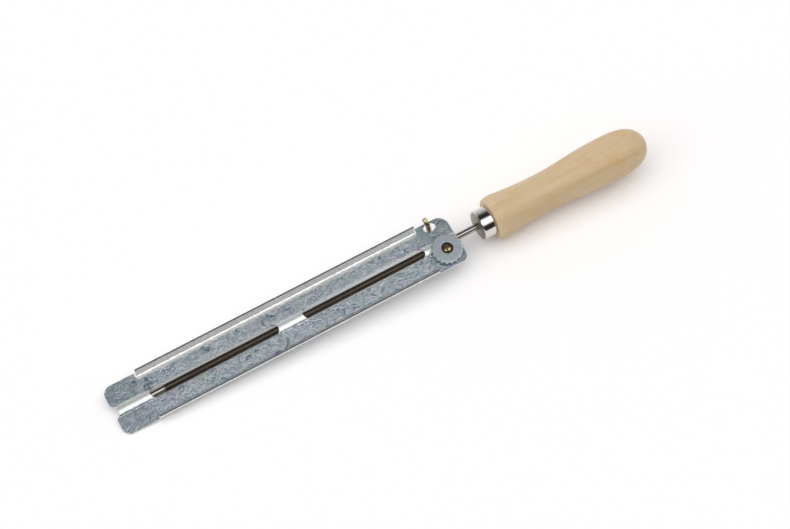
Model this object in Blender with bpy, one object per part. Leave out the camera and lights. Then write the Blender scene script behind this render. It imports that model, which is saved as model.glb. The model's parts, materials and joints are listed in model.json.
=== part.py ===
"""Chainsaw file guide: a pressed steel guide plate over a round file, with a clamp and a wooden handle.

Metres, +Z up. The pieces are made in the tool's own axes: X runs along the file's axis from the far end
of the plate to the handle, Y runs across the plate, Z is square to the plate and zero on the file's axis.
The whole tool hangs on one empty, which lays it on a table: on the handle's belly, on the file's tip and
on the near corner of the far end.
"""

import bpy
import bmesh
from math import acos
from math import atan2
from math import copysign
from math import cos
from math import pi
from math import radians
from math import sin
from math import sqrt
from math import tan
from mathutils import Matrix
from mathutils import Vector

# Guide plate
PLATE_LENGTH = 0.2412
PLATE_WIDTH = 0.0341
SHEET = 0.0010
FLANGE_HEIGHT = 0.0065
FAR_FLANGE_FROM_END = 0.0229
NEAR_FLANGE_FROM_END = 0.0219
RELIEF_WIDTH = 0.0008
LOBE_INSET = 0.0002
BEND_RADIUS = 0.0010
BEAD_FOOT_RADIUS = 0.0022
SLOT_WIDTH = 0.0080
FAR_SLOT_FROM_END = 0.0248
NEAR_SLOT_FROM_END = 0.0233
SLOT_BRIDGE = 0.0174
FAR_SLOT_SHARE = 0.5054
FAR_CORNER_RADIUS = 0.0058
PIN_LOBE_CORNER_RADIUS = 0.0070
WHEEL_LOBE_CORNER_RADIUS = 0.0050
NOTCH_DEPTH = 0.0029
NOTCH_MOUTH = 0.0098
NOTCH_FLOOR = 0.0048

# Raised pad under the wheel nut
PAD_HEIGHT = 0.0014
PAD_RADIUS = 0.0065
PAD_SLOPE = 0.0010

# Oblong hole for the free leg of the bail
LEG_HOLE_LENGTH = 0.0083
LEG_HOLE_WIDTH = 0.0058
LEG_HOLE_RIM = 0.0008
LEG_HOLE_FROM_END = 0.0120

# Round file
FILE_DIAMETER = 0.0048
FILE_BLADE_LENGTH = 0.2032
FILE_TIP_FROM_END = 0.0167
FILE_TIP_CHAMFER = 0.0005
FILE_PROUD_SHARE = 0.2
TANG_DIAMETER = 0.0044
TANG_TAPER_LENGTH = 0.0233
TANG_IN_HANDLE = 0.0440
TANG_POINT_DIAMETER = 0.0022
TANG_POINT_LENGTH = 0.0380

# Socket for the file's tip
SOCKET_SHEET = 0.0008
SOCKET_LENGTH = 0.0080
SOCKET_WIDTH = 0.0150
SOCKET_WRAP = radians(28.0)

# Clamp: wheel nut
WHEEL_DIAMETER = 0.0200
WHEEL_THICKNESS = 0.0030
WHEEL_TEETH = 18
WHEEL_TOOTH_DEPTH = 0.0008
WHEEL_CHAMFER = 0.0003
WHEEL_COLLAR_DIAMETER = 0.0120
WHEEL_COLLAR_HEIGHT = 0.0005
WHEEL_COUNTERBORE_DIAMETER = 0.0074
WHEEL_COUNTERBORE_DEPTH = 0.0019

# Clamp: bail
BOLT_FROM_END = 0.0104
BOLT_FROM_FILE = 0.0056
WIRE_DIAMETER = 0.0032
THREAD_DIAMETER = 0.0040
THREAD_LENGTH = 0.0080
STAKE_DIAMETER = 0.0050
STAKE_HEIGHT = 0.00045
STAKE_DROP = 0.0001
CHISEL_WIDTH = 0.0007
CHISEL_DEPTH = 0.0004
BAIL_BEND_RADIUS = 0.0032
BAIL_SKEW = radians(6.8)
LEG_LEAN = radians(25.0)
LEG_KNEE_ABOVE_PLATE = 0.0022
LEG_END_LEAN = radians(58.0)
LEG_END_REACH = 0.0049
LEG_END_CHAMFER = 0.0004
BAIL_TO_FILE = 0.0001

# Ferrule
FERRULE_DIAMETER = 0.0200
FERRULE_LENGTH = 0.0094
FERRULE_WALL = 0.0008
FERRULE_CORNER_RADIUS = 0.0018
FERRULE_FROM_PLATE = 0.0154

# Handle
HANDLE_LENGTH = 0.1157
HANDLE_FACE_DIAMETER = 0.0252
FLARE_DIAMETER = 0.0294
FLARE_FROM_FACE = 0.0064
WAIST_DIAMETER = 0.0252
WAIST_FROM_FACE = 0.0410
BELLY_DIAMETER = 0.0301
BELLY_FROM_FACE = 0.0813
FLARE_FALL_POWER = 2.2
HANDLE_END_POWER = 3.9

# Fits
GAP = 0.0003
TUNNEL_CLEARANCE = 0.00035
OVERRUN = 0.0020

# Facets
FILE_SIDES = 24
WIRE_SIDES = 16
HANDLE_SIDES = 48
FERRULE_SIDES = 48
HOLE_SIDES = 32
CORNER_STEPS = 8
BEND_STEPS = 4
BEAD_STEPS = 6
POINTS_PER_TOOTH = 6
PROFILE_STEPS = 9
SETTLE_STEPS = 40
SMOOTH_ANGLE = radians(32.0)

# Worked out from the sizes above
FILE_RADIUS = FILE_DIAMETER / 2
PLATE_UNDERSIDE = FILE_RADIUS - FILE_PROUD_SHARE * FILE_DIAMETER
PLATE_TOP = PLATE_UNDERSIDE + SHEET
HALF_WIDTH = PLATE_WIDTH / 2
LOBE_EDGE = HALF_WIDTH - LOBE_INSET
LEG_HOLE_Y = LOBE_EDGE - LEG_HOLE_RIM - LEG_HOLE_WIDTH / 2
BEAD_RADIUS = FILE_RADIUS + TUNNEL_CLEARANCE + SHEET
BOLT_X = PLATE_LENGTH - BOLT_FROM_END
BOLT_Y = -BOLT_FROM_FILE
PAD_TOP = PLATE_TOP + PAD_HEIGHT
WHEEL_BOTTOM = PAD_TOP + GAP
WHEEL_TOP = WHEEL_BOTTOM + WHEEL_COLLAR_HEIGHT + WHEEL_THICKNESS
BOLT_TOP = WHEEL_TOP - STAKE_DROP
BLADE_END = FILE_TIP_FROM_END + FILE_BLADE_LENGTH
FERRULE_FRONT = PLATE_LENGTH + FERRULE_FROM_PLATE
FERRULE_BACK = FERRULE_FRONT + FERRULE_LENGTH
HANDLE_FACE = FERRULE_BACK + GAP
NOSE_FRONT = FERRULE_FRONT + FERRULE_WALL + GAP
TANG_RADIUS = TANG_DIAMETER / 2
TANG_END = FERRULE_FRONT + TANG_IN_HANDLE
TANG_POINT_START = TANG_END - TANG_POINT_LENGTH


def clear_scene():
    for thing in list(bpy.data.objects):
        bpy.data.objects.remove(thing)


def finish(color, metallic, roughness):
    return {"color": color, "metallic": metallic, "roughness": roughness}


def make_object(name, bm, look, parent, origin=(0.0, 0.0, 0.0)):
    """Turn a bmesh, in the tool's axes, into a named object whose own origin lies at the given point."""
    bmesh.ops.recalc_face_normals(bm, faces=bm.faces)
    bmesh.ops.translate(bm, verts=bm.verts, vec=-Vector(origin))
    mesh = bpy.data.meshes.new(name)
    bm.to_mesh(mesh)
    bm.free()
    mesh.shade_smooth()
    mesh.set_sharp_from_angle(angle=SMOOTH_ANGLE)
    thing = bpy.data.objects.new(name, mesh)
    bpy.context.scene.collection.objects.link(thing)
    thing.parent = parent
    thing.location = origin
    if look:
        material = bpy.data.materials.new(name)
        material.use_nodes = True
        shader = material.node_tree.nodes["Principled BSDF"]
        shader.inputs["Base Color"].default_value = (*look["color"], 1.0)
        shader.inputs["Metallic"].default_value = look["metallic"]
        shader.inputs["Roughness"].default_value = look["roughness"]
        mesh.materials.append(material)
    return thing


def apply_tool(target, name, bm, operation, parent, origin=(0.0, 0.0, 0.0)):
    """Cut a target with a hidden tool, or weld the tool to it."""
    tool = make_object(name, bm, None, parent, origin)
    tool.hide_render = True
    tool.display_type = "WIRE"
    modifier = target.modifiers.new(name, "BOOLEAN")
    modifier.operation = operation
    modifier.solver = "EXACT"
    modifier.object = tool


def arc(center, radius, start, end, steps):
    """Points on an arc, both ends included, as pairs in its plane."""
    points = []
    for step in range(steps + 1):
        angle = start + (end - start) * step / steps
        points.append((center[0] + radius * cos(angle), center[1] + radius * sin(angle)))
    return points


def add_prism(bm, outline, low, high):
    """A closed prism over an outline in X and Y, from one height to another."""
    bottom = [bm.verts.new((x, y, low)) for x, y in outline]
    top = [bm.verts.new((x, y, high)) for x, y in outline]
    bm.faces.new(bottom)
    bm.faces.new(top)
    for index in range(len(outline)):
        after = (index + 1) % len(outline)
        bm.faces.new((bottom[index], bottom[after], top[after], top[index]))


def add_rings(bm, rings, closed=False):
    """Skin a list of rings of equal length. A ring of one point closes the skin; so does the first ring."""
    made = [[bm.verts.new(point) for point in ring] for ring in rings]
    pairs = list(zip(made, made[1:]))
    if closed:
        pairs.append((made[-1], made[0]))
    for first, second in pairs:
        count = max(len(first), len(second))
        for index in range(count):
            after = (index + 1) % count
            if len(first) == 1:
                bm.faces.new((first[0], second[after], second[index]))
            elif len(second) == 1:
                bm.faces.new((first[index], first[after], second[0]))
            else:
                bm.faces.new((first[index], first[after], second[after], second[index]))


def turned(profile, sides, closed=False):
    """A solid turned about the X axis from pairs of station and radius."""
    bm = bmesh.new()
    rings = []
    for x, radius in profile:
        if radius == 0:
            rings.append([(x, 0.0, 0.0)])
        else:
            rings.append([(x, y, z) for y, z in arc((0.0, 0.0), radius, 0.0, 2 * pi, sides)[:-1]])
    add_rings(bm, rings, closed)
    return bm


def section_columns():
    """The sheet's sections, as columns from the near side to the far one: each a top and an underside point."""
    foot_height = PLATE_TOP + BEAD_FOOT_RADIUS
    foot_y = sqrt((BEAD_RADIUS + BEAD_FOOT_RADIUS) ** 2 - foot_height ** 2)
    foot_angle = acos(foot_y / (BEAD_RADIUS + BEAD_FOOT_RADIUS))
    foot_under = BEAD_FOOT_RADIUS + SHEET
    half = []
    outer = arc((foot_y, foot_height), BEAD_FOOT_RADIUS, -pi / 2, foot_angle - pi, BEND_STEPS)
    inner = arc((foot_y, foot_height), foot_under, -pi / 2, foot_angle - pi, BEND_STEPS)
    half.extend(zip(outer, inner))
    outer = arc((0.0, 0.0), BEAD_RADIUS, foot_angle, pi / 2, BEAD_STEPS)
    inner = arc((0.0, 0.0), BEAD_RADIUS - SHEET, foot_angle, pi / 2, BEAD_STEPS)
    half.extend(list(zip(outer, inner))[1:])

    bend_y = HALF_WIDTH - SHEET - BEND_RADIUS
    bend_height = PLATE_TOP + BEND_RADIUS
    flange_top = PLATE_UNDERSIDE + FLANGE_HEIGHT
    edge = [((bend_y, PLATE_TOP), (bend_y, PLATE_UNDERSIDE))]
    inner = arc((bend_y, bend_height), BEND_RADIUS, -pi / 2, 0.0, BEND_STEPS)
    outer = arc((bend_y, bend_height), BEND_RADIUS + SHEET, -pi / 2, 0.0, BEND_STEPS)
    flange = list(zip(inner, outer))[1:]
    flange.append(((HALF_WIDTH - SHEET, flange_top), (HALF_WIDTH, flange_top)))
    lobe = [((LOBE_EDGE, PLATE_TOP), (LOBE_EDGE, PLATE_UNDERSIDE))]

    def mirrored(columns):
        return [tuple((-y, z) for y, z in pair) for pair in reversed(columns)]

    right = (edge + half)[::-1]
    core = mirrored(right)[:-1] + right
    return {
        "bare": core,
        "flanged": mirrored(flange) + core + flange,
        "lobed": mirrored(lobe) + core + lobe,
    }


def add_sheet(bm, zones):
    """A sheet of given thickness from zones of columns: open edges get walls, shared columns are shared."""
    vertices = {}
    faces_at = {}

    def corner(x, pair, side):
        key = (x, pair[side])
        if key not in vertices:
            vertices[key] = bm.verts.new((x, *pair[side]))
        return vertices[key]

    for start, end, columns in zones:
        for left, right in zip(columns, columns[1:]):
            top = [corner(x, pair, 0) for x, pair in ((start, left), (end, left), (end, right), (start, right))]
            under = [corner(x, pair, 1) for x, pair in ((start, left), (end, left), (end, right), (start, right))]
            bm.faces.new(top)
            bm.faces.new(under[::-1])
            for index in range(len(top)):
                after = (index + 1) % len(top)
                edge = frozenset((top[index], top[after]))
                faces_at.setdefault(edge, []).append((top[index], top[after], under[after], under[index]))
    for walls in faces_at.values():
        if len(walls) == 1:
            bm.faces.new(walls[0][::-1])


def make_plate(tool):
    section = section_columns()
    bare = section["bare"]
    flanged = section["flanged"]
    lobed = section["lobed"]
    flange_start = FAR_FLANGE_FROM_END
    flange_end = PLATE_LENGTH - NEAR_FLANGE_FROM_END
    bm = bmesh.new()
    add_sheet(bm, [
        (0.0, flange_start - RELIEF_WIDTH, lobed),
        (flange_start - RELIEF_WIDTH, flange_start, bare),
        (flange_start, flange_end, flanged),
        (flange_end, flange_end + RELIEF_WIDTH, bare),
        (flange_end + RELIEF_WIDTH, PLATE_LENGTH, lobed),
    ])
    plate = make_object("guide_plate", bm, finish((0.52, 0.56, 0.60), 1.0, 0.38), tool)
    add_pad(plate, tool)
    add_blanking(plate, tool)
    return plate


def frustum(base_radius, top_radius, low, high):
    bm = bmesh.new()
    rings = []
    for radius, z in ((base_radius, low), (top_radius, high)):
        rings.append([(x, y, z) for x, y in arc((0.0, 0.0), radius, 0.0, 2 * pi, HOLE_SIDES)[:-1]])
    add_rings(bm, rings)
    bmesh.ops.holes_fill(bm, edges=bm.edges)
    return bm


def add_pad(plate, tool):
    """The round seat that the press raises under the wheel nut, hollow underneath."""
    slope = PAD_SLOPE / PAD_HEIGHT
    embedded = PLATE_TOP - SHEET / 2
    base = PAD_RADIUS + slope * (PAD_TOP - embedded)
    bm = frustum(base, PAD_RADIUS, embedded, PAD_TOP)
    bmesh.ops.translate(bm, verts=bm.verts, vec=(BOLT_X, BOLT_Y, 0.0))
    apply_tool(plate, "pad_punch", bm, "UNION", tool)
    roof = PAD_TOP - SHEET
    below = PLATE_UNDERSIDE - OVERRUN
    wall = SHEET * (sqrt(1 + slope ** 2) - slope)
    roof_radius = PAD_RADIUS - wall
    bm = frustum(roof_radius + slope * (roof - below), roof_radius, below, roof)
    bmesh.ops.translate(bm, verts=bm.verts, vec=(BOLT_X, BOLT_Y, 0.0))
    apply_tool(plate, "pad_die", bm, "DIFFERENCE", tool)
    start = BOLT_X - 2 * PAD_RADIUS
    clear = FILE_RADIUS + GAP
    end = PLATE_LENGTH + OVERRUN
    bm = turned([(start, 0.0), (start, clear), (end, clear), (end, 0.0)], FILE_SIDES)
    apply_tool(plate, "file_clearance", bm, "DIFFERENCE", tool)


def corner_outline(corner_x, corner_y, side_x, side_y, radius):
    """What a rounded corner leaves off: the square outside its arc. side_x and side_y point into the lobe."""
    center = (corner_x + side_x * radius, corner_y + side_y * radius)
    out_x = corner_x - side_x * OVERRUN
    out_y = corner_y - side_y * OVERRUN
    start = atan2(-side_y, 0.0)
    end = start + (pi / 2 if side_x * side_y < 0 else -pi / 2)
    points = arc(center, radius, start, end, CORNER_STEPS)
    return points + [(out_x, points[-1][1]), (out_x, out_y), (points[0][0], out_y)]


def slot_outline(start, end):
    radius = SLOT_WIDTH / 2
    points = arc((end - radius, 0.0), radius, -pi / 2, pi / 2, CORNER_STEPS * 2)
    points += arc((start + radius, 0.0), radius, pi / 2, 3 * pi / 2, CORNER_STEPS * 2)
    return points


def add_blanking(plate, tool):
    """Everything that the press punches out of the sheet or trims off it."""
    low = PLATE_UNDERSIDE - OVERRUN
    high = PAD_TOP + OVERRUN
    slots_end = PLATE_LENGTH - NEAR_SLOT_FROM_END
    slotted = slots_end - FAR_SLOT_FROM_END - SLOT_BRIDGE
    bridge = FAR_SLOT_FROM_END + FAR_SLOT_SHARE * slotted
    far_end = 0.0
    outlines = [
        slot_outline(FAR_SLOT_FROM_END, bridge),
        slot_outline(bridge + SLOT_BRIDGE, slots_end),
        corner_outline(far_end, LOBE_EDGE, 1, -1, FAR_CORNER_RADIUS),
        corner_outline(far_end, -LOBE_EDGE, 1, 1, FAR_CORNER_RADIUS),
        corner_outline(PLATE_LENGTH, LOBE_EDGE, -1, -1, PIN_LOBE_CORNER_RADIUS),
        corner_outline(PLATE_LENGTH, -LOBE_EDGE, -1, 1, WHEEL_LOBE_CORNER_RADIUS),
        notch_outline(),
        arc((BOLT_X, BOLT_Y), THREAD_DIAMETER / 2 + GAP, 0.0, 2 * pi, HOLE_SIDES)[:-1],
        leg_hole_outline(),
    ]
    bm = bmesh.new()
    for outline in outlines:
        add_prism(bm, outline, low, high)
    apply_tool(plate, "blanking_tool", bm, "DIFFERENCE", tool)


def notch_outline():
    """The relief at the far end, where the bead starts: a mouth that narrows to a straight floor."""
    mouth = NOTCH_MOUTH / 2
    floor = NOTCH_FLOOR / 2
    return [(-OVERRUN, -mouth), (0.0, -mouth), (NOTCH_DEPTH, -floor),
            (NOTCH_DEPTH, floor), (0.0, mouth), (-OVERRUN, mouth)]


def leg_hole_outline():
    """The oblong hole that the bail's free leg leans through."""
    stretch = LEG_HOLE_LENGTH / LEG_HOLE_WIDTH
    points = arc((0.0, LEG_HOLE_Y), LEG_HOLE_WIDTH / 2, 0.0, 2 * pi, HOLE_SIDES)[:-1]
    return [(PLATE_LENGTH - LEG_HOLE_FROM_END + x * stretch, y) for x, y in points]


def make_socket(tool):
    """The welded socket: two flanges under the plate, ears that curl round the file, and an end wall."""
    inner = FILE_RADIUS + GAP
    outer = inner + SOCKET_SHEET
    top = PLATE_UNDERSIDE - GAP
    under = top - SOCKET_SHEET
    end_face = FILE_TIP_FROM_END - GAP - SOCKET_SHEET
    half = SOCKET_WIDTH / 2
    curl = arc((0.0, 0.0), outer, 0.0, -SOCKET_WRAP, BEND_STEPS)
    side = [(half, top), (half, under), (outer, under)] + curl
    section = side + [(-y, z) for y, z in reversed(side)]
    bm = bmesh.new()
    rings = []
    for x in (end_face, end_face + SOCKET_LENGTH):
        rings.append([(x, y, z) for y, z in section])
    add_rings(bm, rings)
    bmesh.ops.holes_fill(bm, edges=bm.edges)
    socket = make_object("tip_socket", bm, finish((0.48, 0.50, 0.53), 1.0, 0.42), tool)

    channel = arc((0.0, 0.0), inner, pi, 2 * pi, HOLE_SIDES // 2)
    channel += [(inner, top + OVERRUN), (-inner, top + OVERRUN)]
    bm = bmesh.new()
    rings = []
    for x in (end_face + SOCKET_SHEET, end_face + SOCKET_LENGTH + OVERRUN):
        rings.append([(x, y, z) for y, z in channel])
    add_rings(bm, rings)
    bmesh.ops.holes_fill(bm, edges=bm.edges)
    apply_tool(socket, "file_channel", bm, "DIFFERENCE", tool)
    return socket


def make_file(tool):
    profile = [
        (FILE_TIP_FROM_END, 0.0),
        (FILE_TIP_FROM_END, FILE_RADIUS - FILE_TIP_CHAMFER),
        (FILE_TIP_FROM_END + FILE_TIP_CHAMFER, FILE_RADIUS),
        (BLADE_END, FILE_RADIUS),
        (BLADE_END + TANG_TAPER_LENGTH, TANG_RADIUS),
        (TANG_POINT_START, TANG_RADIUS),
        (TANG_END, TANG_POINT_DIAMETER / 2),
        (TANG_END, 0.0),
    ]
    bm = turned(profile, FILE_SIDES)
    return make_object("round_file", bm, finish((0.16, 0.15, 0.14), 1.0, 0.45), tool)


def wheel_ring(radius, z, scalloped):
    """One ring of the wheel nut; a scalloped one dips between the teeth."""
    count = WHEEL_TEETH * POINTS_PER_TOOTH
    ring = []
    for index in range(count):
        angle = 2 * pi * index / count
        dip = 0.0
        if scalloped:
            dip = WHEEL_TOOTH_DEPTH * (1 - cos(WHEEL_TEETH * angle)) / 2
        ring.append(((radius - dip) * cos(angle), (radius - dip) * sin(angle), z))
    return ring


def make_wheel(tool):
    outer = WHEEL_DIAMETER / 2
    collar = WHEEL_COLLAR_DIAMETER / 2
    counterbore = WHEEL_COUNTERBORE_DIAMETER / 2
    bore = THREAD_DIAMETER / 2 + GAP
    disc_bottom = WHEEL_BOTTOM + WHEEL_COLLAR_HEIGHT
    floor = WHEEL_TOP - WHEEL_COUNTERBORE_DEPTH
    rings = [
        wheel_ring(bore, WHEEL_BOTTOM, False),
        wheel_ring(collar, WHEEL_BOTTOM, False),
        wheel_ring(collar, disc_bottom, False),
        wheel_ring(outer - WHEEL_CHAMFER, disc_bottom, True),
        wheel_ring(outer, disc_bottom + WHEEL_CHAMFER, True),
        wheel_ring(outer, WHEEL_TOP - WHEEL_CHAMFER, True),
        wheel_ring(outer - WHEEL_CHAMFER, WHEEL_TOP, True),
        wheel_ring(counterbore, WHEEL_TOP, False),
        wheel_ring(counterbore, floor, False),
        wheel_ring(bore, floor, False),
    ]
    bm = bmesh.new()
    add_rings(bm, rings, closed=True)
    bmesh.ops.translate(bm, verts=bm.verts, vec=(BOLT_X, BOLT_Y, 0.0))
    look = finish((0.56, 0.60, 0.63), 1.0, 0.36)
    return make_object("wheel_nut", bm, look, tool, (BOLT_X, BOLT_Y, 0.0))


def bent(points, radius, steps):
    """A centre line with its corners rounded: stations of place along, height and heading."""
    headings = [atan2(b[1] - a[1], b[0] - a[0]) for a, b in zip(points, points[1:])]
    stations = [(*points[0], headings[0])]
    for corner, before, after in zip(points[1:-1], headings, headings[1:]):
        turn = after - before
        signed = copysign(radius, turn)
        reach = radius * tan(abs(turn) / 2)
        start = (corner[0] - reach * cos(before), corner[1] - reach * sin(before))
        center = (start[0] - signed * sin(before), start[1] + signed * cos(before))
        for step in range(steps + 1):
            heading = before + turn * step / steps
            place = center[0] + signed * sin(heading)
            stations.append((place, center[1] - signed * cos(heading), heading))
    stations.append((*points[-1], headings[-1]))
    return stations


def bail_stations():
    """The bail in its own upright plane, from the staked end: place along, height, heading and radius."""
    wire = WIRE_DIAMETER / 2
    thread = THREAD_DIAMETER / 2
    stake = STAKE_DIAMETER / 2
    bar = -(FILE_RADIUS + BAIL_TO_FILE + wire)
    thread_end = BOLT_TOP - STAKE_HEIGHT - THREAD_LENGTH
    runout = thread_end - (thread - wire)
    middle = PLATE_TOP - SHEET / 2
    knee = PLATE_TOP + LEG_KNEE_ABOVE_PLATE
    hole = (LEG_HOLE_Y - BOLT_Y) / cos(BAIL_SKEW)
    foot = hole - (middle - bar) * tan(LEG_LEAN)
    knee_place = hole + (knee - middle) * tan(LEG_LEAN)
    tip = (knee_place + LEG_END_REACH * sin(LEG_END_LEAN), knee + LEG_END_REACH * cos(LEG_END_LEAN))
    line = [(0.0, runout), (0.0, bar), (foot, bar), (knee_place, knee), tip]
    stations = bent(line, BAIL_BEND_RADIUS, CORNER_STEPS)
    down = stations[0][2]
    leg = [
        (0.0, BOLT_TOP, down, stake),
        (0.0, BOLT_TOP - STAKE_HEIGHT, down, thread),
        (0.0, thread_end, down, thread),
    ]
    leg += [(*station, wire) for station in stations[:-1]]
    place, height, heading = stations[-1]
    back = (place - LEG_END_CHAMFER * cos(heading), height - LEG_END_CHAMFER * sin(heading))
    leg += [(*back, heading, wire), (place, height, heading, wire - LEG_END_CHAMFER)]
    return leg


def make_bail(tool):
    """Wire bent to a hook: threaded leg, crossbar under the file's neck, free leg leaning outwards."""
    out = Vector((-sin(BAIL_SKEW), cos(BAIL_SKEW), 0.0))
    side = Vector((cos(BAIL_SKEW), sin(BAIL_SKEW), 0.0))
    up = Vector((0.0, 0.0, 1.0))
    foot = Vector((BOLT_X, BOLT_Y, 0.0))
    rings = []
    for s, z, heading, radius in bail_stations():
        center = foot + out * s + up * z
        across = up * cos(heading) - out * sin(heading)
        ring = []
        for a, b in arc((0.0, 0.0), radius, 0.0, 2 * pi, WIRE_SIDES)[:-1]:
            ring.append(center + side * a + across * b)
        rings.append(ring)
    bm = bmesh.new()
    add_rings(bm, rings)
    bmesh.ops.holes_fill(bm, edges=bm.edges)
    look = finish((0.60, 0.47, 0.24), 1.0, 0.34)
    bail = make_object("clamp_bail", bm, look, tool, (BOLT_X, BOLT_Y, 0.0))

    reach = STAKE_DIAMETER
    half = CHISEL_WIDTH / 2
    bm = bmesh.new()
    outline = [(-reach, -half), (reach, -half), (reach, half), (-reach, half)]
    add_prism(bm, outline, BOLT_TOP - CHISEL_DEPTH, BOLT_TOP + OVERRUN)
    bmesh.ops.translate(bm, verts=bm.verts, vec=foot)
    apply_tool(bail, "chisel", bm, "DIFFERENCE", tool)
    return bail


def make_ferrule(tool):
    outer = FERRULE_DIAMETER / 2
    hole = TANG_RADIUS + GAP
    inner = outer - FERRULE_WALL
    inner_corner = FERRULE_CORNER_RADIUS - FERRULE_WALL
    corner_x = FERRULE_FRONT + FERRULE_CORNER_RADIUS
    corner_r = outer - FERRULE_CORNER_RADIUS
    profile = [(FERRULE_FRONT, hole)]
    profile += arc((corner_x, corner_r), FERRULE_CORNER_RADIUS, pi, pi / 2, CORNER_STEPS)
    profile += [(FERRULE_BACK, outer), (FERRULE_BACK, inner)]
    profile += arc((corner_x, corner_r), inner_corner, pi / 2, pi, BEND_STEPS)
    profile += [(FERRULE_FRONT + FERRULE_WALL, hole)]
    bm = turned(profile, FERRULE_SIDES, closed=True)
    return make_object("ferrule", bm, finish((0.80, 0.80, 0.78), 1.0, 0.12), tool)


def handle_outside():
    """The turned outside of the handle, from its front face to its end."""
    face = HANDLE_FACE_DIAMETER / 2
    flare = FLARE_DIAMETER / 2
    waist = WAIST_DIAMETER / 2
    belly = BELLY_DIAMETER / 2
    points = []
    for step in range(PROFILE_STEPS):
        share = (step / PROFILE_STEPS) ** 2
        radius = face + (flare - face) * sqrt(1 - (1 - share) ** 2)
        points.append((share * FLARE_FROM_FACE, radius))
    for step in range(PROFILE_STEPS):
        share = step / PROFILE_STEPS
        radius = waist + (flare - waist) * (1 - share) ** FLARE_FALL_POWER
        points.append((FLARE_FROM_FACE + share * (WAIST_FROM_FACE - FLARE_FROM_FACE), radius))
    for step in range(PROFILE_STEPS):
        share = step / PROFILE_STEPS
        smooth = share * share * (3 - 2 * share)
        radius = waist + (belly - waist) * smooth
        points.append((WAIST_FROM_FACE + share * (BELLY_FROM_FACE - WAIST_FROM_FACE), radius))
    for step in range(2 * PROFILE_STEPS + 1):
        share = sin(pi / 2 * step / (2 * PROFILE_STEPS))
        radius = belly * sqrt(max(0.0, 1 - share ** HANDLE_END_POWER))
        points.append((BELLY_FROM_FACE + share * (HANDLE_LENGTH - BELLY_FROM_FACE), radius))
    return [(HANDLE_FACE + x, radius) for x, radius in points]


def make_handle(tool):
    """Beech handle: a nose inside the ferrule, a bored hole for the tang, and the turned grip."""
    nose = FERRULE_DIAMETER / 2 - FERRULE_WALL - GAP
    nose_chamfer = FERRULE_CORNER_RADIUS - FERRULE_WALL
    profile = [
        (TANG_END + GAP, 0.0),
        (TANG_END + GAP, TANG_POINT_DIAMETER / 2 + GAP),
        (TANG_POINT_START, TANG_RADIUS + GAP),
        (NOSE_FRONT, TANG_RADIUS + GAP),
        (NOSE_FRONT, nose - nose_chamfer),
        (NOSE_FRONT + nose_chamfer, nose),
        (HANDLE_FACE, nose),
    ]
    profile += handle_outside()
    bm = turned(profile, HANDLE_SIDES)
    return make_object("handle", bm, finish((0.72, 0.52, 0.33), 0.0, 0.5), tool)


def points_in(thing, axes):
    """The corners of a finished object, in the given axes."""
    graph = bpy.context.evaluated_depsgraph_get()
    seen = thing.evaluated_get(graph)
    place = axes.inverted() @ seen.matrix_world
    return [place @ vertex.co for vertex in seen.data.vertices]


def resting_up(handle, file_and_socket, near_half):
    """The table's upward normal, in the tool's axes, once all three supports touch it."""
    up = Vector((0.0, 0.0, 1.0))
    for _ in range(SETTLE_STEPS):
        back = min(handle, key=up.dot)
        tip = min(file_and_socket, key=up.dot)
        corner = min(near_half, key=up.dot)
        normal = (tip - back).cross(corner - back).normalized()
        if normal.z < 0:
            normal.negate()
        up = normal
    return up


def lay_on_table(tool, pieces):
    """Turn the tool until it rests, then set the middle of its footprint on the origin."""
    bpy.context.view_layer.update()
    still = Matrix.Identity(4)
    handle = points_in(pieces["handle"], still)
    tip = points_in(pieces["round_file"], still) + points_in(pieces["tip_socket"], still)
    near_half = [point for point in points_in(pieces["guide_plate"], still) if point.y < 0]
    up = resting_up(handle, tip, near_half)
    along = Vector((1.0, 0.0, 0.0))
    along = (along - up * along.dot(up)).normalized()
    across = up.cross(along)
    turn = Matrix((along, across, up))
    everything = []
    for piece in pieces.values():
        everything += [turn @ point for point in points_in(piece, still)]
    low = [min(point[axis] for point in everything) for axis in range(3)]
    high = [max(point[axis] for point in everything) for axis in range(3)]
    tool.rotation_euler = turn.to_euler()
    tool.location = (-(low[0] + high[0]) / 2, -(low[1] + high[1]) / 2, -low[2])
    bpy.context.view_layer.update()


def main():
    clear_scene()
    tool = bpy.data.objects.new("file_guide", None)
    bpy.context.scene.collection.objects.link(tool)
    pieces = {}
    for make in (make_plate, make_socket, make_file, make_wheel, make_bail, make_ferrule, make_handle):
        piece = make(tool)
        pieces[piece.name] = piece
    lay_on_table(tool, pieces)


main()
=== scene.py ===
import json
from math import atan2
from math import cos
from math import hypot
from math import pi
from math import radians
from math import sin
from math import sqrt
from math import tan

import bpy
from mathutils import Matrix
from mathutils import Vector


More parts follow.
